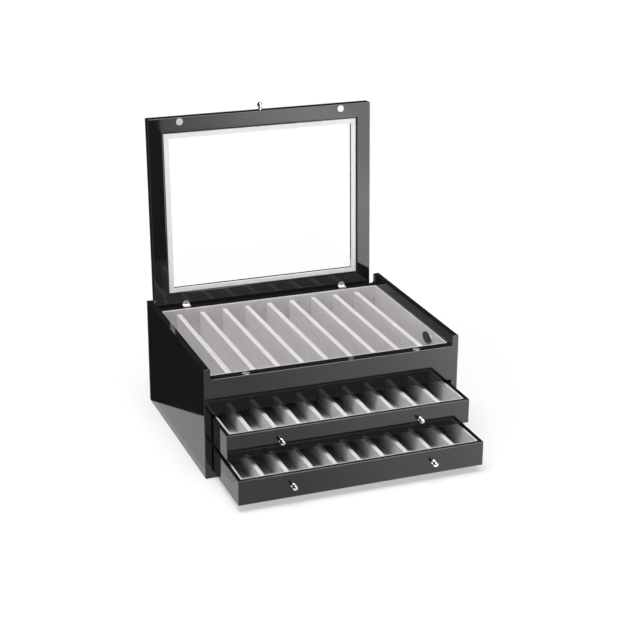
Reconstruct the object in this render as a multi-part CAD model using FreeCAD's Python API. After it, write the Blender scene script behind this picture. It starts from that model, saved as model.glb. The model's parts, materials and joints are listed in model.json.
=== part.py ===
import FreeCAD, Part

import math
import os

# Pen collector chest: a lacquered case with a lined tray under a glazed lid and two lined drawers.
# Millimetres. X runs to the right, Y to the rear and Z up, from the centre of the case's underside.
# The chest is stored open: the lid stands on its hinges and both drawers are pulled part of the way.

# Case
case_width = 280.0
case_depth = 215.0
side_thickness = 7.0
fascia_thickness = 11.0
rear_thickness = 9.0
base_thickness = 7.5
shelf_thickness = 5.4
tray_floor_thickness = 4.0
fascia_height = 38.0
cove_radius = 2.5
edge_radius = 0.8

# Lid
lid_thickness = 11.2
lid_gap = 0.3
lid_side_clearance = 3.5
lid_front_setback = 0.5
lid_face_width = 16.8
glass_lip = 3.5
glass_thickness = 2.0
retainer_width = 5.8
retainer_thickness = 1.5
retainer_recess = 0.6
glazing_clearance = 0.2
lid_open_angle = 92.2

# Hinges, one toward each side, with small round-ended leaves let in flush
hinge_offset = 93.8
hinge_behind_rear = 0.2
hinge_below_shoulder = 1.5
leaf_width = 7.8
leaf_thickness = 1.2
leaf_reach = 6.6
leaf_clearance = 0.15
knuckle_radius = 2.0
knuckle_clearance = 0.2
lid_knuckle_width = 2.6
hinge_pin_radius = 0.8
pin_running_clearance = 0.05
pin_seat_clearance = 0.02
hinge_screw_distance = 3.9
hinge_screw_head_radius = 1.7
hinge_screw_shank_radius = 0.9
hinge_screw_length = 7.0

# Catch: magnets in the lid meet steel discs in the fascia
magnet_radius = 4.0
magnet_thickness = 3.0
magnet_setback = 5.0
strike_thickness = 2.0
disc_clearance = 0.1

# Drawers
drawer_height = 26.0
drawer_side_clearance = 1.3
drawer_glide = 0.4
drawer_head_clearance = 0.8
upper_drawer_head_clearance = 3.5
drawer_rear_clearance = 1.0
drawer_front_thickness = 4.5
drawer_wall_thickness = 4.0
drawer_bottom_thickness = 3.0
upper_drawer_pull = 47.1
lower_drawer_pull = 82.6
knob_offset = 75.5

# Knobs: a flange, a short neck and a ball
knob_flange_radius = 3.2
knob_flange_thickness = 1.3
knob_neck_radius = 1.5
knob_ball_radius = 2.9
knob_ball_distance = 5.7
knob_screw_radius = 1.2
knob_screw_clearance = 0.1
knob_screw_depth = 3.5
knob_screw_head_radius = 2.5
lid_stud_length = 8.0

# Suede lining of the tray and of each drawer
compartments = 10
lining_thickness = 1.8
lining_gap = 0.3
drawer_lining_gap = 0.1
pad_thickness = 1.5
rim_drop = 0.2
tray_divider_thickness = 5.4
drawer_divider_thickness = 4.8
divider_end_gap = 0.1
divider_edge_radius = 1.0
tray_divider_drop = 4.4
drawer_divider_drop = 3.8

# Oval stud on the right wall of the tray: a metal collar against the wall and a cap on it
stud_from_front = 54.9
stud_below_rim = 9.4
stud_cap_length = 20.2
stud_cap_height = 12.2
stud_cap_thickness = 1.2
stud_cap_edge = 0.4
stud_collar_step = 0.3
stud_collar_thickness = 1.8
stud_stem_radius = 2.0
stud_clearance = 0.1

# Planes that several pieces share
half_width = case_width / 2
inner_half = half_width - side_thickness
front_y = -case_depth / 2
rear_y = case_depth / 2
bay_rear_y = rear_y - rear_thickness
tray_front_y = front_y + fascia_thickness

lower_drawer_z = base_thickness + drawer_glide
shelf_z = lower_drawer_z + drawer_height + drawer_head_clearance
upper_drawer_z = shelf_z + shelf_thickness + drawer_glide
drawer_half = inner_half - drawer_side_clearance
drawer_length = case_depth - rear_thickness - drawer_rear_clearance

fascia_bottom_z = upper_drawer_z + drawer_height + upper_drawer_head_clearance
shoulder_z = fascia_bottom_z + fascia_height
tray_pad_z = fascia_bottom_z + tray_floor_thickness
tray_rim_z = shoulder_z - rim_drop

lid_half = inner_half - lid_side_clearance
lid_inner_z = shoulder_z + lid_gap
lid_outer_z = lid_inner_z + lid_thickness
case_height = lid_outer_z
lid_front_y = front_y + lid_front_setback
hinge_y = rear_y + hinge_behind_rear
hinge_z = shoulder_z - hinge_below_shoulder
magnet_y = lid_front_y + magnet_setback

Vector = FreeCAD.Vector
X_AXIS = Vector(1, 0, 0)
Y_AXIS = Vector(0, 1, 0)
Z_AXIS = Vector(0, 0, 1)
SIDES = {"left": -1, "right": 1}


def block(x, y, z):
    """A box between two X, two Y and two Z planes, each given as a pair in any order."""
    low = Vector(min(x), min(y), min(z))
    return Part.makeBox(max(x) - low.x, max(y) - low.y, max(z) - low.z, low)


def rod(radius, length, start, direction):
    return Part.makeCylinder(radius, length, start, direction)


def touches(edge, axis, value):
    """True when both ends of an edge lie in the plane axis = value."""
    return all(abs(getattr(vertex.Point, axis) - value) < 1e-6 for vertex in edge.Vertexes)


def rounded(solid, radius, planes):
    """Round every edge that lies in one of the planes, each given as (axis, value)."""
    edges = [edge for edge in solid.Edges if any(touches(edge, *plane) for plane in planes)]
    return solid.makeFillet(radius, edges)


def opened(shape):
    """Turn a piece of the closed lid about the hinge axis to where the open lid holds it."""
    turned = shape.copy()
    turned.rotate(Vector(0, hinge_y, hinge_z), X_AXIS, -lid_open_angle)
    return turned


def save(node, *solids):
    for solid in solids:
        if not solid.isValid() or len(solid.Solids) != 1:
            raise ValueError(node + " is not one sound solid")
    shape = solids[0] if len(solids) == 1 else Part.makeCompound(list(solids))
    shape.exportStep("parts/" + node + ".step")


# Case panels


def side_panel(sign):
    outer_x = sign * half_width
    panel = block((sign * inner_half, outer_x), (front_y, rear_y), (0, case_height))
    return rounded(panel, edge_radius, [("x", outer_x), ("z", case_height)])


def shouldered_board(y, bottom_z):
    """A cross board whose top carries the lid and sweeps up to the side panels in small coves."""
    top_z = shoulder_z + cove_radius
    flat_half = inner_half - cove_radius
    inset = cove_radius * (1 - math.sqrt(0.5))
    corners = [Vector(x, y[0], z) for x, z in (
        (-inner_half, top_z), (-inner_half, bottom_z), (inner_half, bottom_z), (inner_half, top_z),
        (flat_half, shoulder_z), (-flat_half, shoulder_z))]
    right_arc = Part.Arc(corners[3], Vector(inner_half - inset, y[0], shoulder_z + inset), corners[4])
    left_arc = Part.Arc(corners[5], Vector(-inner_half + inset, y[0], shoulder_z + inset), corners[0])
    lines = [Part.makeLine(corners[i], corners[i + 1]) for i in (0, 1, 2)]
    shelf = Part.makeLine(corners[4], corners[5])
    outline = Part.Wire(lines + [right_arc.toShape(), shelf, left_arc.toShape()])
    return Part.Face(outline).extrude(Vector(0, y[1] - y[0], 0))


def fascia():
    board = shouldered_board((front_y, tray_front_y), fascia_bottom_z)
    for sign in SIDES.values():
        start = Vector(sign * hinge_offset, magnet_y, shoulder_z - strike_thickness)
        board = board.cut(rod(magnet_radius + disc_clearance, strike_thickness, start, Z_AXIS))
    return board


def rear_panel():
    board = shouldered_board((bay_rear_y, rear_y), 0)
    for sign in SIDES.values():
        board = board.cut(case_leaf_seat(sign * hinge_offset))
    return board


def case_panels():
    bay = (-inner_half, inner_half)
    for side, sign in SIDES.items():
        save("side_panel_" + side, side_panel(sign))
    save("fascia", fascia())
    save("rear_panel", rear_panel())
    save("base_panel", block(bay, (front_y, bay_rear_y), (0, base_thickness)))
    save("drawer_shelf", block(bay, (front_y, bay_rear_y), (shelf_z, shelf_z + shelf_thickness)))
    save("tray_floor", block(bay, (tray_front_y, bay_rear_y), (fascia_bottom_z, tray_pad_z)))


# Lining: four walls, a floor pad between them and dividers that stand on the pad


def lining_walls(half, y, z):
    """Left, right, front and rear wall; the side walls run the whole length."""
    inner = half - lining_thickness
    left = block((-half, -inner), y, z)
    right = block((inner, half), y, z)
    front = block((-inner, inner), (y[0], y[0] + lining_thickness), z)
    rear = block((-inner, inner), (y[1] - lining_thickness, y[1]), z)
    return left, right, front, rear


def lining_pad(half, y, z):
    inner = half - lining_thickness
    between_walls = (y[0] + lining_thickness, y[1] - lining_thickness)
    return block((-inner, inner), between_walls, (z, z + pad_thickness))


def lining_dividers(half, y, pad_z, top_z, thickness):
    inner = half - lining_thickness
    pitch = (2 * inner + thickness) / compartments
    inset = lining_thickness + divider_end_gap
    dividers = []
    for number in range(1, compartments):
        right_x = -inner + number * pitch
        span = (right_x - thickness, right_x)
        divider = block(span, (y[0] + inset, y[1] - inset), (pad_z + pad_thickness, top_z))
        long_edges = [edge for edge in divider.Edges if touches(edge, "z", top_z) and edge.Length > pitch]
        dividers.append(divider.makeFillet(divider_edge_radius, long_edges))
    return dividers


def stud_place():
    """Centre of the stud on the inner face of the tray's right wall."""
    wall_x = inner_half - lining_gap - lining_thickness
    return Vector(wall_x, front_y + stud_from_front, tray_rim_z - stud_below_rim)


def oval_plate(length, height, thickness, place):
    """An oval plate against a wall, long from front to rear, that stands out toward -X."""
    outline = Part.Ellipse(place, length / 2, height / 2)
    outline.rotate(FreeCAD.Placement(place, FreeCAD.Rotation(Vector(0, 1, 0), Vector(0, 0, 1), -X_AXIS)))
    return Part.Face(Part.Wire(outline.toShape())).extrude(-X_AXIS * thickness)


def stud_cap():
    place = stud_place() - X_AXIS * stud_collar_thickness
    plate = oval_plate(stud_cap_length, stud_cap_height, stud_cap_thickness, place)
    front_x = place.x - stud_cap_thickness
    plate = rounded(plate, stud_cap_edge, [("x", front_x)])
    stem = rod(stud_stem_radius, lining_thickness + stud_collar_thickness, place, X_AXIS)
    return plate.fuse(stem).removeSplitter()


def stud_collar():
    place = stud_place()
    length = stud_cap_length - 2 * stud_collar_step
    height = stud_cap_height - 2 * stud_collar_step
    plate = oval_plate(length, height, stud_collar_thickness, place)
    return plate.cut(rod(stud_stem_radius + stud_clearance, stud_collar_thickness, place, -X_AXIS))


def tray_lining():
    half = inner_half - lining_gap
    y = (tray_front_y + lining_gap, bay_rear_y - lining_gap)
    walls = lining_walls(half, y, (tray_pad_z, tray_rim_z))
    left, right, front, rear = walls
    right = right.cut(rod(stud_stem_radius + stud_clearance, lining_thickness, stud_place(), X_AXIS))
    save("tray_wall_left", left)
    save("tray_wall_right", right)
    save("tray_wall_front", front)
    save("tray_wall_rear", rear)
    save("tray_floor_pad", lining_pad(half, y, tray_pad_z))
    top_z = tray_rim_z - tray_divider_drop
    dividers = lining_dividers(half, y, tray_pad_z, top_z, tray_divider_thickness)
    save("tray_dividers", *dividers)
    save("wall_stud_cap", stud_cap())
    save("wall_stud_collar", stud_collar())


# Lid, built closed and then opened


def lid_frame():
    outer = block((-lid_half, lid_half), (lid_front_y, rear_y), (lid_inner_z, lid_outer_z))
    frame = outer.makeFillet(edge_radius, outer.Edges)
    lip = lid_face_width + glass_lip
    window = block((-lid_half + lip, lid_half - lip), (lid_front_y + lip, rear_y - lip),
                   (lid_inner_z, lid_outer_z))
    seat_z = lid_inner_z + retainer_recess + retainer_thickness + glass_thickness
    rebate = glazing_block(0, (lid_inner_z, seat_z))
    return frame.cut(window).cut(rebate)


def glazing_block(clearance, z):
    """A block that fills the lid's rebate, less a clearance all round."""
    inset = lid_face_width + clearance
    return block((-lid_half + inset, lid_half - inset), (lid_front_y + inset, rear_y - inset), z)


def mitre_wedges():
    """One prism per frame member, bounded by the 45 degree mitres at the lid's corners."""
    reach = lid_face_width + glass_lip
    corners = {(i, j): (i * lid_half, lid_front_y if j < 0 else rear_y) for i in (-1, 1) for j in (-1, 1)}
    inner = {key: (x - key[0] * reach, y - key[1] * reach) for key, (x, y) in corners.items()}
    runs = {"rail_front": ((-1, -1), (1, -1)), "rail_rear": ((-1, 1), (1, 1)),
            "stile_left": ((-1, -1), (-1, 1)), "stile_right": ((1, -1), (1, 1))}
    wedges = {}
    for name, (start, end) in runs.items():
        outline = [corners[start], corners[end], inner[end], inner[start], corners[start]]
        wire = Part.makePolygon([Vector(x, y, lid_inner_z) for x, y in outline])
        wedges[name] = Part.Face(wire).extrude(Z_AXIS * lid_thickness)
    return wedges


def magnet(sign, thickness, bottom_z, clearance=0.0):
    start = Vector(sign * hinge_offset, magnet_y, bottom_z)
    return rod(magnet_radius + clearance, thickness, start, Z_AXIS)


def lid_members():
    frame = lid_frame()
    for sign in SIDES.values():
        frame = frame.cut(lid_leaf_seat(sign * hinge_offset))
        frame = frame.cut(magnet(sign, magnet_thickness, lid_inner_z, disc_clearance))
    frame = frame.cut(lid_stud(knob_screw_clearance))
    for name, wedge in mitre_wedges().items():
        save("lid_" + name, opened(frame.common(wedge)))


def retainer_strips():
    z_low = lid_inner_z + retainer_recess
    z = (z_low, z_low + retainer_thickness)
    inset = lid_face_width + glazing_clearance
    half = lid_half - inset
    y_front = lid_front_y + inset
    y_rear = rear_y - inset
    side_run = (y_front + retainer_width, y_rear - retainer_width)
    yield "front", block((-half, half), (y_front, side_run[0]), z)
    yield "rear", block((-half, half), (side_run[1], y_rear), z)
    yield "left", block((-half, -half + retainer_width), side_run, z)
    yield "right", block((half - retainer_width, half), side_run, z)


def lid():
    lid_members()
    glass_z = lid_inner_z + retainer_recess + retainer_thickness
    save("lid_glass", opened(glazing_block(glazing_clearance, (glass_z, glass_z + glass_thickness))))
    for name, strip in retainer_strips():
        save("lid_retainer_" + name, opened(strip))
    for side, sign in SIDES.items():
        save("lid_magnet_" + side, opened(magnet(sign, magnet_thickness, lid_inner_z)))
        save("strike_disc_" + side, magnet(sign, strike_thickness, shoulder_z - strike_thickness))
    save("lid_knob", opened(knob(lid_knob_place())))
    save("lid_knob_stud", opened(lid_stud(0.0)))


# Knobs and what holds them


def knob(place):
    """A ball knob that stands forward of its place, with a blind hole for its screw."""
    forward = -Y_AXIS
    flange = rod(knob_flange_radius, knob_flange_thickness, place, forward)
    neck = rod(knob_neck_radius, knob_ball_distance, place, forward)
    ball = Part.makeSphere(knob_ball_radius, place + forward * knob_ball_distance)
    hole = rod(knob_screw_radius + knob_screw_clearance, knob_screw_depth, place, forward)
    return flange.fuse([neck, ball]).removeSplitter().cut(hole)


def lid_knob_place():
    return Vector(0, lid_front_y, (lid_inner_z + lid_outer_z) / 2)


def lid_stud(clearance):
    start = lid_knob_place() - Y_AXIS * knob_screw_depth
    return rod(knob_screw_radius + clearance, knob_screw_depth + lid_stud_length, start, Y_AXIS)


def knob_screw(place, clearance=0.0):
    """A countersunk screw from the back of a drawer front into its knob."""
    back = place + Y_AXIS * drawer_front_thickness
    head_height = knob_screw_head_radius - knob_screw_radius
    head = Part.makeCone(knob_screw_head_radius + clearance, knob_screw_radius + clearance, head_height,
                         back, -Y_AXIS)
    shank = rod(knob_screw_radius + clearance, drawer_front_thickness + knob_screw_depth, back, -Y_AXIS)
    return head.fuse(shank).removeSplitter()


# Hinges: each leaf is a flush plate with a round end, and turns on one pin


def leaf_plate(x, z, clearance=0.0):
    """A plate that runs forward from the pin line, with its far end round."""
    radius = leaf_width / 2 + clearance
    end_y = hinge_y - leaf_reach + leaf_width / 2
    straight = block((x - radius, x + radius), (end_y, hinge_y), z)
    return straight.fuse(rod(radius, z[1] - z[0], Vector(x, end_y, z[0]), Z_AXIS)).removeSplitter()


def pin_line(x, radius, width):
    """A round bar on the hinge axis, centred on x."""
    return rod(radius, width, Vector(x - width / 2, hinge_y, hinge_z), X_AXIS)


def knuckle_channel(x):
    """What the case and the lid are hollowed by, to clear the knuckles."""
    return pin_line(x, knuckle_radius + knuckle_clearance, leaf_width + 2 * knuckle_clearance)


def lid_knuckle_slot(x):
    width = lid_knuckle_width + 2 * knuckle_clearance
    return pin_line(x, knuckle_radius + knuckle_clearance, width)


def case_leaf_seat(x):
    plate = leaf_plate(x, (shoulder_z - leaf_thickness, shoulder_z), leaf_clearance)
    return plate.fuse([knuckle_channel(x), case_screw(x, leaf_clearance)])


def lid_leaf_seat(x):
    plate = leaf_plate(x, (lid_inner_z, lid_inner_z + leaf_thickness), leaf_clearance)
    return plate.fuse([knuckle_channel(x), lid_screw(x, leaf_clearance)])


def hinge_screw(x, face_z, direction, clearance):
    """A countersunk screw whose head is flush with face_z and whose shank runs along direction."""
    head_radius = hinge_screw_head_radius + clearance
    shank_radius = hinge_screw_shank_radius + clearance
    place = Vector(x, hinge_y - hinge_screw_distance, face_z)
    head = Part.makeCone(head_radius, shank_radius, head_radius - shank_radius, place, direction)
    return head.fuse(rod(shank_radius, hinge_screw_length, place, direction)).removeSplitter()


def cross_slot(x, face_z, direction):
    length = 1.2 * hinge_screw_head_radius
    width = 0.3 * hinge_screw_head_radius
    depth = direction.z * 0.6 * (hinge_screw_head_radius - hinge_screw_shank_radius)
    y = hinge_y - hinge_screw_distance
    z = (face_z, face_z + depth)
    across = block((x - length / 2, x + length / 2), (y - width / 2, y + width / 2), z)
    along = block((x - width / 2, x + width / 2), (y - length / 2, y + length / 2), z)
    return across.fuse(along)


def case_screw(x, clearance=0.0):
    return hinge_screw(x, shoulder_z, -Z_AXIS, clearance)


def lid_screw(x, clearance=0.0):
    return hinge_screw(x, lid_inner_z, Z_AXIS, clearance)


def case_leaf(x):
    plate = leaf_plate(x, (shoulder_z - leaf_thickness, shoulder_z))
    leaf = plate.fuse(pin_line(x, knuckle_radius, leaf_width)).cut(lid_knuckle_slot(x))
    bore = pin_line(x, hinge_pin_radius + pin_seat_clearance, leaf_width)
    return leaf.cut(bore).cut(case_screw(x, pin_running_clearance)).removeSplitter()


def lid_leaf(x):
    plate = leaf_plate(x, (lid_inner_z, lid_inner_z + leaf_thickness)).cut(knuckle_channel(x))
    neck_width = lid_knuckle_width
    bridge = block((x - neck_width / 2, x + neck_width / 2),
                   (hinge_y - knuckle_radius - 2 * knuckle_clearance, hinge_y),
                   (lid_inner_z, lid_inner_z + leaf_thickness))
    leaf = plate.fuse([bridge, pin_line(x, knuckle_radius, lid_knuckle_width)])
    bore = pin_line(x, hinge_pin_radius + pin_running_clearance, leaf_width)
    return leaf.cut(bore).cut(lid_screw(x, pin_running_clearance)).removeSplitter()


def hinges():
    for side, sign in SIDES.items():
        x = sign * hinge_offset
        save("hinge_case_leaf_" + side, case_leaf(x))
        save("hinge_lid_leaf_" + side, opened(lid_leaf(x)))
        save("hinge_pin_" + side, pin_line(x, hinge_pin_radius, leaf_width))
    places = [sign * hinge_offset for sign in SIDES.values()]
    case_screws = [case_screw(x).cut(cross_slot(x, shoulder_z, -Z_AXIS)) for x in places]
    lid_screws = [lid_screw(x).cut(cross_slot(x, lid_inner_z, Z_AXIS)) for x in places]
    save("hinge_case_screws", *case_screws)
    save("hinge_lid_screws", *[opened(screw) for screw in lid_screws])


# Drawers


def drawer_front(y, z, knob_places):
    board = block((-drawer_half, drawer_half), y, z)
    board = rounded(board, edge_radius, [("y", y[0])])
    for place in knob_places:
        board = board.cut(knob_screw(place, knob_screw_clearance))
    return board


def drawer_box(name, y, z, knob_places):
    """Front, two sides, back and bottom, butted together."""
    inside = drawer_half - drawer_wall_thickness
    wall_y = y[0] + drawer_front_thickness
    back_y = y[1] - drawer_wall_thickness
    save(name + "_front", drawer_front((y[0], wall_y), z, knob_places))
    for side, sign in SIDES.items():
        wall = block((sign * inside, sign * drawer_half), (wall_y, y[1]), z)
        save(name + "_side_" + side, wall)
    save(name + "_back", block((-inside, inside), (back_y, y[1]), z))
    bottom_z = (z[0], z[0] + drawer_bottom_thickness)
    save(name + "_bottom", block((-inside, inside), (wall_y, back_y), bottom_z))


def drawer_lining(name, y, z):
    half = drawer_half - drawer_wall_thickness - drawer_lining_gap
    run = (y[0] + drawer_front_thickness + drawer_lining_gap,
           y[1] - drawer_wall_thickness - drawer_lining_gap)
    pad_z = z[0] + drawer_bottom_thickness
    rim_z = z[1] - rim_drop
    save(name + "_lining_walls", *lining_walls(half, run, (pad_z, rim_z)))
    save(name + "_floor_pad", lining_pad(half, run, pad_z))
    top_z = z[1] - drawer_divider_drop
    dividers = lining_dividers(half, run, pad_z, top_z, drawer_divider_thickness)
    save(name + "_dividers", *dividers)


def drawer(name, bottom_z, pull):
    y = (front_y - pull, front_y - pull + drawer_length)
    z = (bottom_z, bottom_z + drawer_height)
    middle_z = bottom_z + drawer_height / 2
    places = {side: Vector(sign * knob_offset, y[0], middle_z) for side, sign in SIDES.items()}
    drawer_box(name, y, z, places.values())
    drawer_lining(name, y, z)
    for side, place in places.items():
        save(name + "_knob_" + side, knob(place))
    save(name + "_knob_screws", *[knob_screw(place) for place in places.values()])


os.makedirs("parts", exist_ok=True)
case_panels()
tray_lining()
lid()
hinges()
drawer("upper_drawer", upper_drawer_z, upper_drawer_pull)
drawer("lower_drawer", lower_drawer_z, lower_drawer_pull)
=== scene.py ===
import json
import math

import bmesh
import bpy
from mathutils import Matrix, Vector, noise


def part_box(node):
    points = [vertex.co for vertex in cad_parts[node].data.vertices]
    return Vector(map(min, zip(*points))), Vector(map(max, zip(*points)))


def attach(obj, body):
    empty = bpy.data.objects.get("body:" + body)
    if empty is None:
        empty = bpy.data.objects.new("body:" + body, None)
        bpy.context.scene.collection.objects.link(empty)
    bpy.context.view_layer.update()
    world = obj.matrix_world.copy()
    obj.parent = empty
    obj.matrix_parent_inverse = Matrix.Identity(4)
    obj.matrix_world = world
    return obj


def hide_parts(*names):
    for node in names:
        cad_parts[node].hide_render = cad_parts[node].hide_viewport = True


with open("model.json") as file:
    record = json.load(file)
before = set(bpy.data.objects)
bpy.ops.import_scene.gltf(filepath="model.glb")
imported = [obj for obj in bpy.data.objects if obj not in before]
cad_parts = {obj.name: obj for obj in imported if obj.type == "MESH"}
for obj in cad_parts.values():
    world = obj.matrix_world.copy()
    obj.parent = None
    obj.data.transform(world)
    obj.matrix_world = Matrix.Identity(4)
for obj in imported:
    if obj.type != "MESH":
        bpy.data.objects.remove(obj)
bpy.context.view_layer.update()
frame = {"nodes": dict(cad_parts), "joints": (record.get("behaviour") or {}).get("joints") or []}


# ---------------------------------------------------------------------------------------------
# Case boards. Fibreboard sprayed and polished with black high-gloss lacquer, glued into a box
# whose side panels stand above the tray as cheeks. The lacquer has the faint ripple and the
# fine polishing haze of a rubbed-out finish.

MM = 0.001
LACQUER_BLACK = (0.0095, 0.0098, 0.0100, 1)
LACQUER_WARM_BLACK = (0.0125, 0.0120, 0.0116, 1)
LACQUER_IOR = 1.5
LACQUER_SHINE = (0.03, 0.075)
LACQUER_RIPPLE_PER_M = 38
LACQUER_RIPPLE_DEPTH = 0.02 * MM
LACQUER_HAZE_PER_M = 900
LACQUER_HAZE_STRETCH = (1, 0.2, 1)
LACQUER_SHARP_OVER = 60
NOISE_LOW, NOISE_HIGH = 0.3, 0.7
FACET_JOIN = 0.001 * MM
FLAT_WITHIN = math.radians(0.5)
ON_FACE = 0.01 * MM
ARRIS = 0.8 * MM
ARRIS_RISE = 1.2 * MM
ARRIS_FOLD = math.radians(30)
ARRIS_STEPS = 4


def new_material(name):
    """A material, its shader and the coordinates that its patterns are laid out on."""
    material = bpy.data.materials.new(name)
    material.use_nodes = True
    nodes = material.node_tree.nodes
    shader = nodes["Principled BSDF"]
    place = nodes.new("ShaderNodeTexCoord")
    return material, shader, place


def add_noise(material, place, per_m, detail=3.0, stretch=(1, 1, 1)):
    """Noise in the piece's own space: per_m cells to a metre, times the stretch of each axis."""
    tree = material.node_tree
    mapping = tree.nodes.new("ShaderNodeMapping")
    mapping.inputs["Scale"].default_value = stretch
    texture = tree.nodes.new("ShaderNodeTexNoise")
    texture.inputs["Scale"].default_value = per_m
    texture.inputs["Detail"].default_value = detail
    tree.links.new(place.outputs["Object"], mapping.inputs["Vector"])
    tree.links.new(mapping.outputs["Vector"], texture.inputs["Vector"])
    return texture.outputs["Fac"]


def spread_between(material, factor, low, high, target):
    """Carry a noise factor into a shader value; most of the noise lands between low and high."""
    tree = material.node_tree
    spread = tree.nodes.new("ShaderNodeMapRange")
    spread.inputs["From Min"].default_value = NOISE_LOW
    spread.inputs["From Max"].default_value = NOISE_HIGH
    spread.inputs["To Min"].default_value = low
    spread.inputs["To Max"].default_value = high
    tree.links.new(factor, spread.inputs["Value"])
    tree.links.new(spread.outputs["Result"], target)


def colour_between(material, factor, low, high, target):
    """Carry a noise factor into a colour between two others."""
    tree = material.node_tree
    mix = tree.nodes.new("ShaderNodeMix")
    mix.data_type = "RGBA"
    mix.inputs["A"].default_value = low
    mix.inputs["B"].default_value = high
    tree.links.new(factor, mix.inputs["Factor"])
    tree.links.new(mix.outputs["Result"], target)


def add_bump(material, shader, factor, depth, strength=1.0):
    """Raise and sink the surface with a noise factor; depth is in metres."""
    tree = material.node_tree
    bump = tree.nodes.new("ShaderNodeBump")
    bump.inputs["Strength"].default_value = strength
    bump.inputs["Distance"].default_value = depth
    tree.links.new(factor, bump.inputs["Height"])
    tree.links.new(bump.outputs["Normal"], shader.inputs["Normal"])


def black_lacquer(name):
    """Sprayed and polished lacquer: a slow ripple, and haze from polishing along the depth."""
    material, shader, place = new_material(name)
    ripple = add_noise(material, place, LACQUER_RIPPLE_PER_M, detail=1.0)
    haze = add_noise(material, place, LACQUER_HAZE_PER_M, detail=4.0, stretch=LACQUER_HAZE_STRETCH)
    colour_between(material, ripple, LACQUER_BLACK, LACQUER_WARM_BLACK, shader.inputs["Base Color"])
    spread_between(material, haze, *LACQUER_SHINE, shader.inputs["Roughness"])
    add_bump(material, shader, ripple, LACQUER_RIPPLE_DEPTH)
    shader.inputs["IOR"].default_value = LACQUER_IOR
    return material


def give_finish(material, *names):
    """Give CAD nodes their finish."""
    for name in names:
        mesh = frame["nodes"][name].data
        mesh.materials.clear()
        mesh.materials.append(material)


def make_piece(name, bm, material, body, replaced, sharp_over=180):
    """Turn a bmesh into a smooth piece that rides on a body and stands for some CAD nodes."""
    mesh = bpy.data.meshes.new(name)
    bm.normal_update()
    bm.to_mesh(mesh)
    bm.free()
    if "custom_normal" in mesh.attributes:
        mesh.attributes.remove(mesh.attributes["custom_normal"])
    mesh.materials.append(material)
    for face in mesh.polygons:
        face.use_smooth = True
    mesh.set_sharp_from_angle(angle=math.radians(sharp_over))
    piece = bpy.data.objects.new(name, mesh)
    bpy.context.scene.collection.objects.link(piece)
    even = piece.modifiers.new("flat faces stay flat", "WEIGHTED_NORMAL")
    even.keep_sharp = True
    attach(piece, body)
    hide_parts(*replaced)
    return piece


def bevel_edges(bm, edges, width, steps, clamp=True):
    """Round edges over; without the clamp, a short neighbouring edge doesn't narrow the rounding."""
    bmesh.ops.bevel(bm, geom=edges, offset=width, offset_type="OFFSET", segments=steps,
                    affect="EDGES", profile=0.5, material=-1, clamp_overlap=clamp)


def merged(name):
    """A bmesh copy of a CAD node with its facets joined up and its flat faces made whole."""
    bm = bmesh.new()
    bm.from_mesh(frame["nodes"][name].data)
    bmesh.ops.remove_doubles(bm, verts=bm.verts, dist=FACET_JOIN)
    bmesh.ops.dissolve_limit(bm, angle_limit=FLAT_WITHIN, verts=bm.verts, edges=bm.edges)
    return bm


def ease_top_arris(name, face_y, shoulder_z):
    """Ease the arris where a board's top and the foot of each cove meet one of its faces."""
    def at_arris(vert):
        rise = vert.co.z - shoulder_z
        return abs(vert.co.y - face_y) < ON_FACE and -ON_FACE < rise < ARRIS_RISE

    bm = merged(name)
    arris = [edge for edge in bm.edges
             if all(at_arris(vert) for vert in edge.verts) and edge.calc_face_angle(0) > ARRIS_FOLD]
    bevel_edges(bm, arris, ARRIS, ARRIS_STEPS, clamp=False)
    make_piece(name + "_eased", bm, lacquer, "case", (name,), LACQUER_SHARP_OVER)


lacquer = black_lacquer("black_lacquer")
give_finish(lacquer, "side_panel_left", "side_panel_right", "base_panel", "drawer_shelf", "tray_floor")
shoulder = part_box("strike_disc_left")[1].z
ease_top_arris("fascia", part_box("fascia")[0].y, shoulder)
ease_top_arris("rear_panel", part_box("rear_panel")[0].y, shoulder)


# ---------------------------------------------------------------------------------------------
# Tray lining. Card walls, a padded floor and upright dividers, each wrapped in pale suede that
# is rolled over its top edge and glued down. The dividers stand on the floor pad.

SUEDE_LIGHT = (0.62, 0.60, 0.607, 1)
SUEDE_DARK = (0.47, 0.446, 0.456, 1)
SUEDE_NAP_PER_M = 2600
SUEDE_NAP_DEPTH = 0.25 * MM
SUEDE_BRUSHED_PER_M = 110
SUEDE_BRUSHED_STRETCH = (1, 0.35, 1)
SUEDE_MATT = (0.82, 1.0)
SUEDE_SHEEN = 0.35
SUEDE_SHEEN_SPREAD = 0.5
SUEDE_PUFF = 0.12 * MM
SUEDE_PUFFS_PER_M = 55
BOARD_CUTS = 24
LONG_EDGE_SHARE = 0.8
ROLL_STEPS = 3
WALL_ROLL = 0.35 * MM
DIVIDER_ROLL = 0.6 * MM
PAD_ROLL = 0.5 * MM


def pale_suede():
    """Short-napped suede, brushed here and there so that it takes the light unevenly."""
    material, shader, place = new_material("pale_suede")
    nap = add_noise(material, place, SUEDE_NAP_PER_M, detail=2.0)
    brushed = add_noise(material, place, SUEDE_BRUSHED_PER_M, detail=5.0, stretch=SUEDE_BRUSHED_STRETCH)
    colour_between(material, brushed, SUEDE_DARK, SUEDE_LIGHT, shader.inputs["Base Color"])
    spread_between(material, nap, *SUEDE_MATT, shader.inputs["Roughness"])
    add_bump(material, shader, nap, SUEDE_NAP_DEPTH, strength=0.6)
    shader.inputs["Sheen Weight"].default_value = SUEDE_SHEEN
    shader.inputs["Sheen Roughness"].default_value = SUEDE_SHEEN_SPREAD
    return material


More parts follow.
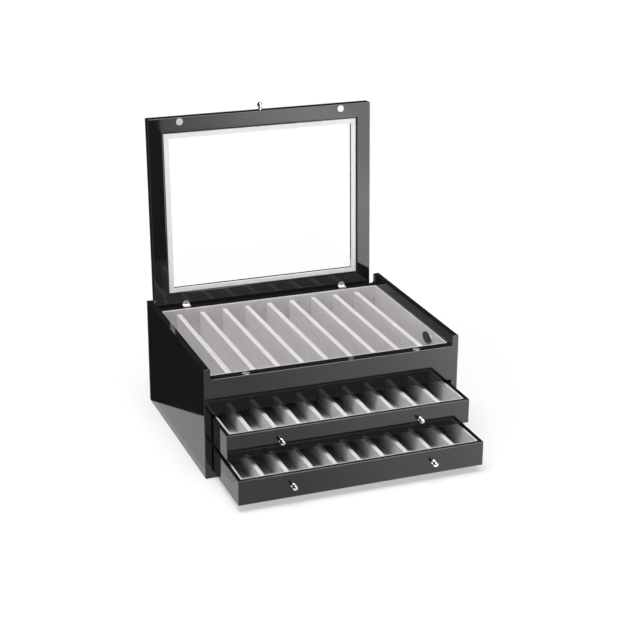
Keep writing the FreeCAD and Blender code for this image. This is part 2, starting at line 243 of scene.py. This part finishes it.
def solids(name, turn=Matrix()):
    """The corners of each separate solid of a CAD node, after a turn."""
    bm = bmesh.new()
    bm.from_mesh(frame["nodes"][name].data)
    bmesh.ops.remove_doubles(bm, verts=bm.verts, dist=FACET_JOIN)
    bm.transform(turn)
    boxes, seen = [], set()
    for first in bm.verts:
        if first in seen:
            continue
        seen.add(first)
        island = [first]
        for vert in island:
            for edge in vert.link_edges:
                other = edge.other_vert(vert)
                if other not in seen:
                    seen.add(other)
                    island.append(other)
        low = Vector(min(vert.co[axis] for vert in island) for axis in range(3))
        high = Vector(max(vert.co[axis] for vert in island) for axis in range(3))
        boxes.append((low, high))
    bm.free()
    return boxes


def add_block(bm, low, high):
    """A cuboid in a bmesh; returns its new vertices."""
    block = bmesh.ops.create_cube(bm, size=1)["verts"]
    bmesh.ops.scale(bm, vec=high - low, verts=block)
    bmesh.ops.translate(bm, vec=(low + high) / 2, verts=block)
    return block


def edges_of(verts):
    """Every edge that meets a group of vertices, once each."""
    return list({edge for vert in verts for edge in vert.link_edges})


def add_suede_board(bm, low, high, roll, seed):
    """A board wrapped in suede: its edges are rolled and its long sides puff and dip a little."""
    size = high - low
    long_axis = max(range(3), key=lambda axis: size[axis])
    board = add_block(bm, low, high)
    bevel_edges(bm, edges_of(board), roll, ROLL_STEPS)
    board = [vert for vert in bm.verts if not vert.tag]
    along = [edge for edge in edges_of(board)
             if abs((edge.verts[0].co - edge.verts[1].co)[long_axis]) > LONG_EDGE_SHARE * size[long_axis]]
    bmesh.ops.subdivide_edges(bm, edges=along, cuts=BOARD_CUTS, use_grid_fill=False)
    board = [vert for vert in bm.verts if not vert.tag]
    centre = (low + high) / 2
    for vert in board:
        wave = noise.noise(vert.co * SUEDE_PUFFS_PER_M + Vector((seed, 0, 0)))
        for axis in range(3):
            if axis == long_axis:
                continue
            inward = -1 if vert.co[axis] > centre[axis] else 1
            vert.co[axis] += inward * SUEDE_PUFF * (0.5 + 0.5 * wave)
        vert.tag = True


def suede_piece(name, body, roll, seed, boxes=None):
    """The suede boards that stand for a CAD node, one for each of its solids or given boxes."""
    bm = bmesh.new()
    for number, (low, high) in enumerate(boxes or solids(name)):
        add_suede_board(bm, low, high, roll, seed + number)
    return make_piece(name + "_suede", bm, suede, body, (name,))


suede = pale_suede()
for number, side in enumerate(("left", "right", "front", "rear")):
    suede_piece("tray_wall_" + side, "case", WALL_ROLL, seed=10 * number)
suede_piece("tray_dividers", "case", DIVIDER_ROLL, seed=50)
tray_pad = suede_piece("tray_floor_pad", "case", PAD_ROLL, seed=70)


# ---------------------------------------------------------------------------------------------
# Oval stud on the tray's right wall. A flat black cap with an eased rim stands on a nickel
# collar a little smaller than itself. The cap's round stem passes through collar and wall.

STUD_PLASTIC = (0.012, 0.011, 0.011, 1)
STUD_PLASTIC_RUBBED = (0.03, 0.027, 0.026, 1)
STUD_GRAIN_PER_M = 1800
STUD_GRAIN_DEPTH = 0.03 * MM
STUD_SHINE = (0.28, 0.42)
STUD_EDGE = 0.4 * MM
STUD_EDGE_STEPS = 5
STUD_STEM_RADIUS = 2.0 * MM
STUD_STEM_SIDES = 32
STUD_SHARP_OVER = 40
TURNING_STEPS = 48
METAL_HAZE_PER_M = 420
METAL_LINES_STRETCH = (1, 1, 6)
METAL_LINES_DEPTH = 0.004 * MM
NICKEL_BRIGHT = (0.62, 0.61, 0.60, 1)
NICKEL_HAZED = (0.47, 0.46, 0.45, 1)


def turned(profile):
    """Spin (radius, height) points round the Z axis into a closed turned form."""
    bm = bmesh.new()
    verts = [bm.verts.new((radius, 0, height)) for radius, height in profile]
    edges = [bm.edges.new(pair) for pair in zip(verts, verts[1:])]
    if profile[0][0] > 0:
        edges.append(bm.edges.new((verts[-1], verts[0])))
    bmesh.ops.spin(bm, geom=verts + edges, cent=(0, 0, 0), axis=(0, 0, 1), angle=2 * math.pi,
                   steps=TURNING_STEPS, use_merge=True, use_duplicate=False)
    bmesh.ops.remove_doubles(bm, verts=bm.verts, dist=FACET_JOIN)
    bmesh.ops.recalc_face_normals(bm, faces=bm.faces)
    return bm


def arc(centre, radius, start, end, steps):
    """Profile points on an arc; the centre is (radius, height) and angles are in degrees."""
    points = []
    for step in range(steps + 1):
        angle = math.radians(start + (end - start) * step / steps)
        out = centre[0] + radius * math.cos(angle)
        up = centre[1] + radius * math.sin(angle)
        points.append((max(out, 0.0), up))
    return points


def set_on(bm, place, direction):
    """Stand a turned form on a place with its Z axis along a direction."""
    turn = Vector(direction).to_track_quat("Z", "Y").to_matrix().to_4x4()
    bm.transform(Matrix.Translation(place) @ turn)


def black_plastic():
    """Moulded black plastic with a fine grain, a little paler where it is rubbed."""
    material, shader, place = new_material("black_plastic")
    grain = add_noise(material, place, STUD_GRAIN_PER_M)
    colour_between(material, grain, STUD_PLASTIC, STUD_PLASTIC_RUBBED, shader.inputs["Base Color"])
    spread_between(material, grain, *STUD_SHINE, shader.inputs["Roughness"])
    add_bump(material, shader, grain, STUD_GRAIN_DEPTH, strength=0.5)
    return material


def polished_metal(name, bright, hazed, shine, lines_per_m, metallic=1.0):
    """Plated or polished metal with faint turning lines and slight patches of haze."""
    material, shader, place = new_material(name)
    haze = add_noise(material, place, METAL_HAZE_PER_M, detail=4.0)
    lines = add_noise(material, place, lines_per_m, detail=2.0, stretch=METAL_LINES_STRETCH)
    colour_between(material, haze, hazed, bright, shader.inputs["Base Color"])
    spread_between(material, lines, *shine, shader.inputs["Roughness"])
    add_bump(material, shader, lines, METAL_LINES_DEPTH, strength=0.4)
    shader.inputs["Metallic"].default_value = metallic
    return material


def oval(radius, length, inner, bottom, top):
    """A flat oval with an eased rim, turned round first and then drawn out to its length."""
    profile = [(inner, bottom), (radius, bottom), (radius, top - STUD_EDGE)]
    profile += arc((radius - STUD_EDGE, top - STUD_EDGE), STUD_EDGE, start=0, end=90,
                   steps=STUD_EDGE_STEPS)[1:]
    bm = turned(profile + [(inner, top)])
    bm.transform(Matrix.Scale(length / (2 * radius), 4, (1, 0, 0)))
    return bm


def stud_part(name, bm, material):
    """Stand a part of the stud on the wall, facing the middle of the tray."""
    set_on(bm, stud_place, (-1, 0, 0))
    make_piece(name + "_turned", bm, material, "case", (name,), STUD_SHARP_OVER)


nickel = polished_metal("nickel_plate", NICKEL_BRIGHT, NICKEL_HAZED, shine=(0.3, 0.45),
                        lines_per_m=1500, metallic=0.7)
cap_low, cap_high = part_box("wall_stud_cap")
collar_low, collar_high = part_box("wall_stud_collar")
wall_x = collar_high.x
stud_place = Vector((wall_x, (cap_low.y + cap_high.y) / 2, (cap_low.z + cap_high.z) / 2))
collar_depth = wall_x - collar_low.x

cap = oval((cap_high.z - cap_low.z) / 2, cap_high.y - cap_low.y, 0.0, collar_depth, wall_x - cap_low.x)
stem_end = wall_x - cap_high.x
stem = bmesh.ops.create_cone(cap, segments=STUD_STEM_SIDES, cap_ends=True, depth=collar_depth - stem_end,
                             radius1=STUD_STEM_RADIUS, radius2=STUD_STEM_RADIUS)["verts"]
bmesh.ops.translate(cap, vec=(0, 0, (collar_depth + stem_end) / 2), verts=stem)
stud_part("wall_stud_cap", cap, black_plastic())
collar = oval((collar_high.z - collar_low.z) / 2, collar_high.y - collar_low.y, STUD_STEM_RADIUS,
              0.0, collar_depth)
stud_part("wall_stud_collar", collar, nickel)


# ---------------------------------------------------------------------------------------------
# Catch. Nickel-plated discs pressed flush into the fascia and into the lid's inner face; the
# lid's are magnets. Each has a small chamfer round its face.

DISC_CHAMFER = 0.25 * MM
DISC_CENTRE_SHARE = 0.3
DISC_SHARP_OVER = 20

# lid_open carries the closed lid to where it stands open, and lid_closed carries it back.
hinge = next(joint for joint in frame["joints"] if joint["name"] == "lid_hinge")
hinge_place = Vector(hinge["pos_m"])
lid_swing = Matrix.Rotation(-math.radians(hinge["range_deg"][1]), 4, "X")
lid_open = Matrix.Translation(hinge_place) @ lid_swing @ Matrix.Translation(-hinge_place)
lid_closed = lid_open.inverted()


def solid_box(name, turn=Matrix()):
    """The corners of a CAD node that is one solid, after a turn."""
    return solids(name, turn)[0]


def disc(name, body, faces_up, turn=Matrix()):
    """A chamfered disc, made level in its board and then carried by a turn."""
    low, high = solid_box(name, turn.inverted())
    radius = (high.x - low.x) / 2
    height = high.z - low.z
    profile = [(0.0, 0.0), (radius, 0.0), (radius, height - DISC_CHAMFER),
               (radius - DISC_CHAMFER, height), (radius * DISC_CENTRE_SHARE, height), (0.0, height)]
    bm = turned(profile)
    back_z = low.z if faces_up else high.z
    back = Vector(((low.x + high.x) / 2, (low.y + high.y) / 2, back_z))
    set_on(bm, back, (0, 0, 1 if faces_up else -1))
    bm.transform(turn)
    return make_piece(name + "_turned", bm, nickel, body, (name,), DISC_SHARP_OVER)


for side in ("left", "right"):
    disc("strike_disc_" + side, "case", faces_up=True)
    disc("lid_magnet_" + side, "lid", faces_up=False, turn=lid_open)


# ---------------------------------------------------------------------------------------------
# Hinges. Small stamped leaves of polished pale brass, let in flush and held by one countersunk
# screw each, which turn on a pin behind the case.

BRASS_BRIGHT = (0.80, 0.77, 0.68, 1)
BRASS_HAZED = (0.66, 0.61, 0.50, 1)
STEEL_BRIGHT = (0.52, 0.50, 0.47, 1)
STEEL_HAZED = (0.36, 0.34, 0.32, 1)

pale_brass = polished_metal("pale_brass", BRASS_BRIGHT, BRASS_HAZED, shine=(0.25, 0.4),
                            lines_per_m=1200, metallic=0.75)
screw_steel = polished_metal("screw_steel", STEEL_BRIGHT, STEEL_HAZED, shine=(0.25, 0.4), lines_per_m=1200)
for side in ("left", "right"):
    give_finish(pale_brass, "hinge_case_leaf_" + side, "hinge_lid_leaf_" + side, "hinge_pin_" + side)
give_finish(screw_steel, "hinge_case_screws", "hinge_lid_screws", "lid_knob_stud")


# ---------------------------------------------------------------------------------------------
# Lid. Four lacquered members mitred into a frame, with an eased arris round the opening, a clear
# pane in their rebate, and pale strips tacked over the pane's edge a hair clear of the members,
# the long ones full length and the short ones butted between them.

STILE_FALL = 0.04
OPENING_EDGE_OVER = 50 * MM
ON_INNER_FACE = 0.02 * MM
OPENING_ARRIS = 1.6 * MM
OPENING_ARRIS_FOLD = math.radians(60)
OPENING_ARRIS_STEPS = 5
PANE_TINT = (0.988, 0.994, 0.99, 1)
PANE_SMEARS_PER_M = 14
PANE_HAZE = (0.0, 0.04)
PANE_SHINE = 0.01
PANE_SLANT_POWER = 5.0
STRIP_PALE = (0.90, 0.90, 0.89, 1)
STRIP_SHADE = (0.76, 0.76, 0.75, 1)
STRIP_GRAIN_PER_M = 160
STRIP_PORES_PER_M = 2200
STRIP_PORE_DEPTH = 0.02 * MM
STRIP_SHINE = (0.3, 0.5)
STRIP_EDGE = 0.35 * MM
STRIP_EDGE_STEPS = 3
STRIP_GAP = 0.3 * MM
STRIP_JOINT = 0.15 * MM
STRIP_SET_BACK = 0.7 * MM
# For each strip of the closed lid: an axis, and how far the low and the high end are set in.
STRIP_SET_IN = {"front": ((0, STRIP_GAP, STRIP_GAP), (1, STRIP_GAP, 0)),
                "rear": ((0, STRIP_GAP, STRIP_GAP), (1, STRIP_SET_BACK, 0)),
                "left": ((0, STRIP_GAP, 0), (1, STRIP_JOINT, STRIP_JOINT - STRIP_SET_BACK)),
                "right": ((0, 0, STRIP_GAP), (1, STRIP_JOINT, STRIP_JOINT - STRIP_SET_BACK))}


def falling_lacquer():
    """Lacquer whose surface falls a little toward the lid's outer side edges, as if rubbed down."""
    material = black_lacquer("stile_lacquer")
    tree = material.node_tree
    place = tree.nodes["Texture Coordinate"]
    split = tree.nodes.new("ShaderNodeSeparateXYZ")
    outward = tree.nodes.new("ShaderNodeMath")
    outward.operation = "ABSOLUTE"
    fall = tree.nodes.new("ShaderNodeMath")
    fall.operation = "MULTIPLY"
    fall.inputs[1].default_value = -STILE_FALL
    tree.links.new(place.outputs["Object"], split.inputs["Vector"])
    tree.links.new(split.outputs["X"], outward.inputs[0])
    tree.links.new(outward.outputs["Value"], fall.inputs[0])
    slope = tree.nodes.new("ShaderNodeBump")
    slope.inputs["Distance"].default_value = 1.0
    tree.links.new(fall.outputs["Value"], slope.inputs["Height"])
    tree.links.new(slope.outputs["Normal"], tree.nodes["Bump"].inputs["Normal"])
    return material


def ease_opening_arris(name, material):
    """Ease the arris of a lid member where its inner face meets the opening for the pane."""
    inner_z = solid_box(name, lid_closed)[0].z
    bm = merged(name)
    bm.transform(lid_closed)
    bm.normal_update()
    arris = [edge for edge in bm.edges
             if edge.calc_length() > OPENING_EDGE_OVER and edge.calc_face_angle(0) > OPENING_ARRIS_FOLD
             and all(abs(vert.co.z - inner_z) < ON_INNER_FACE for vert in edge.verts)]
    bevel_edges(bm, arris, OPENING_ARRIS, OPENING_ARRIS_STEPS, clamp=False)
    bm.transform(lid_open)
    make_piece(name + "_eased", bm, material, "lid", (name,), LACQUER_SHARP_OVER)


for end in ("front", "rear"):
    ease_opening_arris("lid_rail_" + end, lacquer)
stile_lacquer = falling_lacquer()
for side in ("left", "right"):
    ease_opening_arris("lid_stile_" + side, stile_lacquer)


def clear_pane():
    """Thin clear glass: it lets light straight through and mirrors a little, more at a slant."""
    material, shader, place = new_material("clear_pane")
    tree = material.node_tree
    smears = add_noise(material, place, PANE_SMEARS_PER_M)
    through = tree.nodes.new("ShaderNodeBsdfTransparent")
    through.inputs["Color"].default_value = PANE_TINT
    mirror = tree.nodes.new("ShaderNodeBsdfGlossy")
    spread_between(material, smears, *PANE_HAZE, mirror.inputs["Roughness"])
    slant = tree.nodes.new("ShaderNodeLayerWeight")
    steep = tree.nodes.new("ShaderNodeMath")
    steep.operation = "POWER"
    steep.inputs[1].default_value = PANE_SLANT_POWER
    shine = tree.nodes.new("ShaderNodeMath")
    shine.operation = "MULTIPLY_ADD"
    shine.inputs[1].default_value = 1.0 - PANE_SHINE
    shine.inputs[2].default_value = PANE_SHINE
    mix = tree.nodes.new("ShaderNodeMixShader")
    tree.links.new(slant.outputs["Facing"], steep.inputs[0])
    tree.links.new(steep.outputs["Value"], shine.inputs[0])
    tree.links.new(shine.outputs["Value"], mix.inputs["Fac"])
    tree.links.new(through.outputs["BSDF"], mix.inputs[1])
    tree.links.new(mirror.outputs["BSDF"], mix.inputs[2])
    tree.links.new(mix.outputs["Shader"], tree.nodes["Material Output"].inputs["Surface"])
    tree.nodes.remove(shader)
    return material


def pale_strip():
    """Pale painted wood with a faint grain and fine pores."""
    material, shader, place = new_material("pale_strip")
    grain = add_noise(material, place, STRIP_GRAIN_PER_M, detail=4.0)
    pores = add_noise(material, place, STRIP_PORES_PER_M, detail=2.0)
    colour_between(material, grain, STRIP_SHADE, STRIP_PALE, shader.inputs["Base Color"])
    spread_between(material, pores, *STRIP_SHINE, shader.inputs["Roughness"])
    add_bump(material, shader, pores, STRIP_PORE_DEPTH, strength=0.5)
    return material


give_finish(clear_pane(), "lid_glass")
strip_finish = pale_strip()
for side in ("front", "rear", "left", "right"):
    name = "lid_retainer_" + side
    low, high = solid_box(name, lid_closed)
    for axis, at_low, at_high in STRIP_SET_IN[side]:
        low[axis] += at_low
        high[axis] -= at_high
    strip = bmesh.new()
    bevel_edges(strip, edges_of(add_block(strip, low, high)), STRIP_EDGE, STRIP_EDGE_STEPS)
    strip.transform(lid_open)
    make_piece(name + "_strip", strip, strip_finish, "lid", (name,))


# ---------------------------------------------------------------------------------------------
# Knobs. Small chromed brass balls on a waisted neck and a thin flange, turned in one piece and
# held by a screw from behind: one on the lid's front edge and two on each drawer.

FLANGE_RADIUS = 2.6 * MM
FLANGE_HEIGHT = 1.3 * MM
FOOT_SET_IN = 0.3 * MM
FLANGE_STEPS = 8
NECK_RADIUS = 1.5 * MM
NECK_FILLET = 0.25 * MM
BALL_RADIUS = 2.9 * MM
BALL_HEIGHT = 5.7 * MM
BALL_STEPS = 28
BORE_RADIUS = 1.3 * MM
BORE_DEPTH = 3.5 * MM
CHROME_BRIGHT = (0.88, 0.88, 0.89, 1)
CHROME_HAZED = (0.78, 0.78, 0.79, 1)

chrome = polished_metal("mirror_chrome", CHROME_BRIGHT, CHROME_HAZED, shine=(0.02, 0.06), lines_per_m=2500)


def knob(name, body, place, direction):
    """A knob whose foot is on a place; its profile runs from the bore out and up to the ball."""
    rim = FLANGE_HEIGHT / 2
    meet = math.degrees(math.asin(NECK_RADIUS / BALL_RADIUS))
    bore = [(0.0, BORE_DEPTH), (BORE_RADIUS, BORE_DEPTH), (BORE_RADIUS, 0.0)]
    flange = [(FLANGE_RADIUS - FOOT_SET_IN, 0.0)]
    flange += arc((FLANGE_RADIUS - rim, rim), rim, start=-60, end=90, steps=FLANGE_STEPS)
    neck = [(NECK_RADIUS + NECK_FILLET, FLANGE_HEIGHT), (NECK_RADIUS, FLANGE_HEIGHT + NECK_FILLET)]
    ball = arc((0.0, BALL_HEIGHT), BALL_RADIUS, start=meet - 90, end=90, steps=BALL_STEPS)
    bm = turned(bore + flange + neck + ball)
    set_on(bm, place, direction)
    return make_piece(name + "_turned", bm, chrome, body, (name,))


def knob_foot(name, turn=Matrix()):
    """The middle of a CAD knob's flat back, where it stands on its board."""
    low, high = solid_box(name, turn.inverted())
    return turn @ Vector(((low.x + high.x) / 2, high.y, (low.z + high.z) / 2))


knob("lid_knob", "lid", knob_foot("lid_knob", lid_open), lid_open.to_3x3() @ Vector((0, -1, 0)))


# ---------------------------------------------------------------------------------------------
# Drawers. Shallow lacquered boxes that slide on the shelf and on the base panel. Each is lined
# like the tray with thin suede walls, a floor pad and upright dividers.

BOARDS = ("front", "side_left", "side_right", "back", "bottom")
LINING_WALL = 1.8 * MM


def wall_boxes(low, high):
    """The boxes of the four lining walls that stand inside one larger box."""
    left, right = low.x + LINING_WALL, high.x - LINING_WALL
    front, rear = low.y + LINING_WALL, high.y - LINING_WALL
    return [(low, Vector((left, high.y, high.z))),
            (Vector((right, low.y, low.z)), high),
            (Vector((left, low.y, low.z)), Vector((right, front, high.z))),
            (Vector((left, rear, low.z)), Vector((right, high.y, high.z)))]


for drawer in ("upper_drawer", "lower_drawer"):
    give_finish(lacquer, *[drawer + "_" + board for board in BOARDS])
    give_finish(screw_steel, drawer + "_knob_screws")
    walls = wall_boxes(*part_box(drawer + "_lining_walls"))
    suede_piece(drawer + "_lining_walls", drawer, WALL_ROLL, seed=100, boxes=walls)
    suede_piece(drawer + "_dividers", drawer, DIVIDER_ROLL, seed=120)
    drawer_pad = suede_piece(drawer + "_floor_pad", drawer, PAD_ROLL, seed=140)
    for side in ("left", "right"):
        name = drawer + "_knob_" + side
        knob(name, drawer, knob_foot(name), (0, -1, 0))


# ---------------------------------------------------------------------------------------------
# Studio. A pale floor that runs out of sight, under a broad key light from above and a weaker
# fill from the front left. Black, grey and bright cards and a pool of light on the floor, which
# only glossy surfaces see, are what the lacquer and the metal mirror.

FLOOR_SIZE = 16.0
FLOOR_DROP = 0.2 * MM
FLOOR_OWN_GLOW = 0.46
FLOOR_LIGHT = (0.40, 0.40, 0.40, 1)
# The pool's brightness at places along a line to the right; POOL_SLANT turns the line to the rear.
POOL_BRIGHTNESS = ((-0.10, 0.90), (-0.06, 1.07), (0.0, 1.43), (0.07, 1.70), (0.13, 2.2),
                   (0.18, 2.8), (0.25, 3.45), (0.32, 3.85), (0.40, 4.25), (0.50, 3.5))
POOL_FROM, POOL_TO = -0.3, 0.7
POOL_PEAK = 4.3
POOL_SLANT = 0.214
PAPER_TOOTH_PER_M = 60
PAPER_TOOTH_SHADE = 0.96
KEY_DIRECTION = (-0.16, -0.15, 1.0)
KEY_SPREAD = 48
KEY_STRENGTH = 3.64
FILL_DIRECTION = (-0.80, -0.60, 0.28)
FILL_SPREAD = 60
FILL_STRENGTH = 1.28
ROOM_LIGHT = 0.24
ROOM_SEEN_IN_GLOSS = 0.03
CARD_BLACK = (0.005, 0.005, 0.005, 1)
CARD_GREY_GLOW = 0.74
SKY_CARD_GLOW = 15.0


def stage_card(name, corners, material):
    """A flat sheet of the studio, which isn't part of the chest."""
    bm = bmesh.new()
    bm.faces.new([bm.verts.new(corner) for corner in corners])
    mesh = bpy.data.meshes.new(name)
    bm.to_mesh(mesh)
    bm.free()
    mesh.materials.append(material)
    card = bpy.data.objects.new(name, mesh)
    bpy.context.scene.collection.objects.link(card)
    return card


def gloss_only(card):
    """Leave a card to be seen by glossy surfaces alone."""
    card.visible_camera = False
    card.visible_diffuse = False
    card.visible_shadow = False
    card.visible_transmission = False


def upright_card(name, start, end, height, material):
    """A card that stands on the floor between two (x, y) places."""
    foot = [(*start, 0.0), (*end, 0.0)]
    top = [(*end, height), (*start, height)]
    gloss_only(stage_card(name, foot + top, material))


def lying_card(name, start, end, height, material):
    """A level card between two opposite (x, y) corners."""
    corners = [(start[0], start[1], height), (end[0], start[1], height),
               (end[0], end[1], height), (start[0], end[1], height)]
    gloss_only(stage_card(name, corners, material))


def plain_paper(name, colour, glow=0.0):
    """Matt paper with a faint tooth, which may glow."""
    material, shader, place = new_material(name)
    tooth = add_noise(material, place, PAPER_TOOTH_PER_M, detail=4.0)
    darker = (*[PAPER_TOOTH_SHADE * value for value in colour[:3]], 1)
    colour_between(material, tooth, darker, colour, shader.inputs["Base Color"])
    shader.inputs["Roughness"].default_value = 1.0
    shader.inputs["Specular IOR Level"].default_value = 0.0
    shader.inputs["Emission Color"].default_value = (1, 1, 1, 1)
    shader.inputs["Emission Strength"].default_value = glow
    return material


def mirrored_otherwise(tree, plain, mirrored, output):
    """Let glossy surfaces see one shader where everything else sees another."""
    ray = tree.nodes.new("ShaderNodeLightPath")
    mix = tree.nodes.new("ShaderNodeMixShader")
    tree.links.new(ray.outputs["Is Glossy Ray"], mix.inputs["Fac"])
    tree.links.new(plain, mix.inputs[1])
    tree.links.new(mirrored, mix.inputs[2])
    tree.links.new(mix.outputs["Shader"], output.inputs["Surface"])


def pool_of_light(tree):
    """A glow whose brightness changes across the floor."""
    across = tree.nodes.new("ShaderNodeVectorMath")
    across.operation = "DOT_PRODUCT"
    across.inputs[1].default_value = (1.0, POOL_SLANT, 0.0)
    spread = tree.nodes.new("ShaderNodeMapRange")
    spread.inputs["From Min"].default_value = POOL_FROM
    spread.inputs["From Max"].default_value = POOL_TO
    ramp = tree.nodes.new("ShaderNodeValToRGB")
    ramp.color_ramp.interpolation = "LINEAR"
    stops = ramp.color_ramp.elements
    for number, (place, brightness) in enumerate(POOL_BRIGHTNESS):
        position = (place - POOL_FROM) / (POOL_TO - POOL_FROM)
        # A new ramp has two stops already.
        stop = stops[number] if number < 2 else stops.new(position)
        stop.position = position
        level = brightness / POOL_PEAK
        stop.color = (level, level, level, 1)
    pool = tree.nodes.new("ShaderNodeEmission")
    pool.inputs["Strength"].default_value = POOL_PEAK
    tree.links.new(tree.nodes["Texture Coordinate"].outputs["Object"], across.inputs[0])
    tree.links.new(across.outputs["Value"], spread.inputs["Value"])
    tree.links.new(spread.outputs["Result"], ramp.inputs["Fac"])
    tree.links.new(ramp.outputs["Color"], pool.inputs["Color"])
    return pool.outputs["Emission"]


def floor_paper():
    """Pale paper with a little glow of its own; glossy surfaces see the pool of light instead."""
    paper = plain_paper("floor_paper", FLOOR_LIGHT, FLOOR_OWN_GLOW)
    tree = paper.node_tree
    plain = tree.nodes["Principled BSDF"].outputs["BSDF"]
    mirrored_otherwise(tree, plain, pool_of_light(tree), tree.nodes["Material Output"])
    return paper


half = FLOOR_SIZE / 2
stage_card("floor", [(-half, -half, -FLOOR_DROP), (half, -half, -FLOOR_DROP),
                     (half, half, -FLOOR_DROP), (-half, half, -FLOOR_DROP)], floor_paper())

black_paper = plain_paper("black_paper", CARD_BLACK)
upright_card("left_black_card", (-0.14, 0.105), (-0.62, -0.60), height=0.7, material=black_paper)
upright_card("front_black_card", (-0.35, -0.40), (0.022, -0.40), height=0.6, material=black_paper)
upright_card("rear_black_card", (-0.70, 0.42), (0.90, 0.42), height=0.7, material=black_paper)
grey_paper = plain_paper("grey_paper", CARD_BLACK, CARD_GREY_GLOW)
sky_paper = plain_paper("sky_paper", CARD_BLACK, SKY_CARD_GLOW)
lying_card("side_grey_card", (-0.60, -0.125), (-0.1452, 0.115), height=0.0, material=grey_paper)
lying_card("sky_card", (-0.10, -1.5), (1.1, -0.2), height=1.7, material=sky_paper)


def broad_light(name, direction, strength, spread):
    """A light far away in one direction, as wide as its spread in degrees."""
    data = bpy.data.lights.new(name, "SUN")
    data.energy = strength
    data.angle = math.radians(spread)
    lamp = bpy.data.objects.new(name, data)
    bpy.context.scene.collection.objects.link(lamp)
    lamp.rotation_euler = Vector(direction).to_track_quat("Z", "Y").to_euler()
    lamp.visible_glossy = False


def room_glow(tree, strength):
    """Even light from all round, before it is joined to the world."""
    glow = tree.nodes.new("ShaderNodeBackground")
    glow.inputs["Strength"].default_value = strength
    return glow.outputs["Background"]


def pale_room():
    """Soft light from all round; glossy surfaces see a much darker room, so that they stay deep."""
    world = bpy.data.worlds.new("studio")
    world.use_nodes = True
    tree = world.node_tree
    tree.nodes.clear()
    output = tree.nodes.new("ShaderNodeOutputWorld")
    mirrored_otherwise(tree, room_glow(tree, ROOM_LIGHT), room_glow(tree, ROOM_SEEN_IN_GLOSS), output)
    return world


broad_light("key", KEY_DIRECTION, KEY_STRENGTH, KEY_SPREAD)
broad_light("fill", FILL_DIRECTION, FILL_STRENGTH, FILL_SPREAD)
bpy.context.scene.world = pale_room()


# ---------------------------------------------------------------------------------------------
# Camera. A long lens at the front left, which looks down on the chest from above its open lid.
# Its optical centre is a few pixels off the middle of the image.

CAMERA_PLACE = (-0.54613, -1.47667, 0.71254)
CAMERA_AZIMUTH = -20.9365
CAMERA_ELEVATION = 20.7116
CAMERA_ROLL = 0.307
IMAGE_SIZE = 640
FOCAL_PIXELS = 1557.68
OPTICAL_CENTRE = (314.618, 319.415)
SENSOR_WIDTH = 36.0
NEAREST, FARTHEST = 0.05, 50.0

lens = bpy.data.cameras.new("camera")
lens.sensor_width = SENSOR_WIDTH
lens.lens = SENSOR_WIDTH * FOCAL_PIXELS / IMAGE_SIZE
lens.shift_x = (IMAGE_SIZE / 2 - OPTICAL_CENTRE[0]) / IMAGE_SIZE
lens.shift_y = (OPTICAL_CENTRE[1] - IMAGE_SIZE / 2) / IMAGE_SIZE
lens.clip_start = NEAREST
lens.clip_end = FARTHEST
camera = bpy.data.objects.new("camera", lens)
bpy.context.scene.collection.objects.link(camera)
camera.matrix_world = (Matrix.Translation(CAMERA_PLACE)
                       @ Matrix.Rotation(math.radians(CAMERA_AZIMUTH), 4, "Z")
                       @ Matrix.Rotation(math.radians(90 - CAMERA_ELEVATION), 4, "X")
                       @ Matrix.Rotation(math.radians(CAMERA_ROLL), 4, "Z"))
bpy.context.scene.camera = camera
bpy.context.scene.view_settings.view_transform = "Standard"
